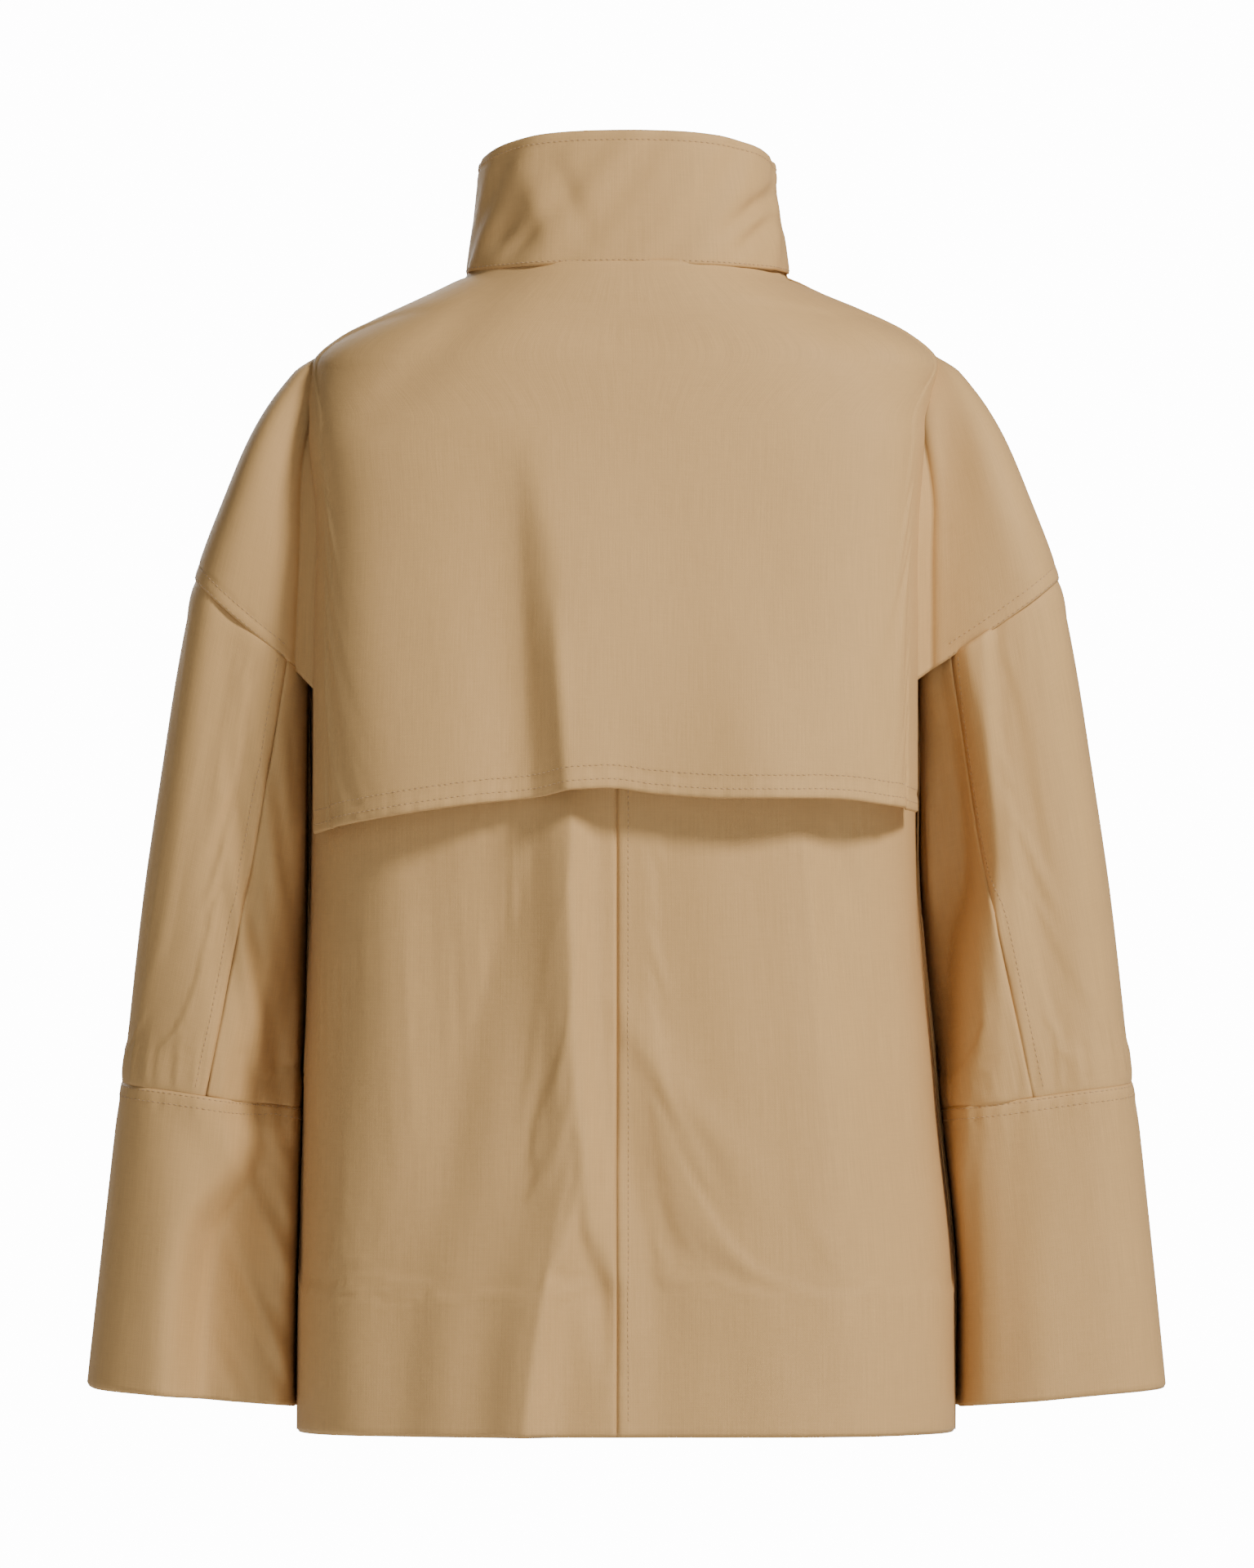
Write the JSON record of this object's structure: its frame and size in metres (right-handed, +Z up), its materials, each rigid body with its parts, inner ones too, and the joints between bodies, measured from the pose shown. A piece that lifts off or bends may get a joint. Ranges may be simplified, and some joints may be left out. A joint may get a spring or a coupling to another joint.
{
  "type": "short cape-back coat",
  "caption": "Short rain coat with a tall stand collar, drop shoulders, a cape-like storm flap across the back, wide deep-cuffed sleeves and an open button front.",
  "frame": {"origin": "centre-back neck point, where the collar seam meets the middle of the back", "axes": "+Z up, the coat's back faces +Y and its front faces -Y, +X is the wearer's left"},
  "size_m": [0.6344, 0.287, 0.7678],
  "materials": {
    "shell_cloth": "fine camel cotton-blend weave with a soft satin sheen",
    "facing_cloth": "the same camel cloth on the inside, matte",
    "lining_cloth": "smooth tan lining twill",
    "loop_tape": "narrow folded cloth tape",
    "button_horn": "dark horn-effect polyester, polished rim"
  },
  "bodies": {
    "torso": {"cape_back": "shell_cloth", "back_neck_facing": "facing_cloth", "back_lining": "lining_cloth", "collar_back": "shell_cloth", "collar_back_facing": "facing_cloth", "left_back": "shell_cloth", "left_back_hem_turn": "facing_cloth", "left_front_side": "shell_cloth", "left_pocket_welt": "shell_cloth", "left_pocket_bag": "lining_cloth", "right_back": "shell_cloth", "right_back_hem_turn": "facing_cloth", "right_front_side": "shell_cloth", "right_pocket_welt": "shell_cloth", "right_pocket_bag": "lining_cloth"},
    "storm_flap": {"storm_flap": "shell_cloth"},
    "hanger_loop": {"hanger_loop": "loop_tape"},
    "left_front": {"left_front": "shell_cloth", "left_front_facing": "facing_cloth", "left_collar_end": "shell_cloth", "left_collar_end_facing": "facing_cloth", "button_1": "button_horn", "button_2": "button_horn", "button_3": "button_horn", "button_4": "button_horn", "button_5": "button_horn"},
    "left_sleeve": {"left_shoulder_cap": "shell_cloth", "left_sleeve_outer": "shell_cloth", "left_sleeve_inner": "shell_cloth", "left_cuff": "shell_cloth", "left_cuff_facing": "facing_cloth"},
    "right_front": {"right_front": "shell_cloth", "right_front_facing": "facing_cloth", "right_collar_end": "shell_cloth", "right_collar_end_facing": "facing_cloth"},
    "right_sleeve": {"right_shoulder_cap": "shell_cloth", "right_sleeve_outer": "shell_cloth", "right_sleeve_inner": "shell_cloth", "right_cuff": "shell_cloth", "right_cuff_facing": "facing_cloth"}
  },
  "joints": [
    {"name": "left_sleeve_lift", "type": "hinge", "parent": "torso", "child": "left_sleeve", "pos_m": [0.189, -0.075, -0.058], "axis": [0, -1, 0], "range_deg": [0, 65]},
    {"name": "right_sleeve_lift", "type": "hinge", "parent": "torso", "child": "right_sleeve", "pos_m": [-0.189, -0.075, -0.058], "axis": [0, 1, 0], "range_deg": [0, 65]},
    {"name": "left_front_open", "type": "hinge", "parent": "torso", "child": "left_front", "pos_m": [0.112, -0.21, -0.687], "axis": [-0.0485, 0.1161, 0.9921], "range_deg": [0, 70]},
    {"name": "right_front_open", "type": "hinge", "parent": "torso", "child": "right_front", "pos_m": [-0.112, -0.21, -0.687], "axis": [-0.0485, -0.1161, -0.9921], "range_deg": [0, 70]},
    {"name": "storm_flap_lift", "type": "hinge", "parent": "torso", "child": "storm_flap", "pos_m": [0, 0.056, -0.2265], "axis": [1, 0, 0], "range_deg": [0, 25]},
    {"name": "hanger_loop_swing", "type": "hinge", "parent": "torso", "child": "hanger_loop", "pos_m": [0, -0.004, -0.0165], "axis": [-1, 0, 0], "range_deg": [0, 100]}
  ]
}
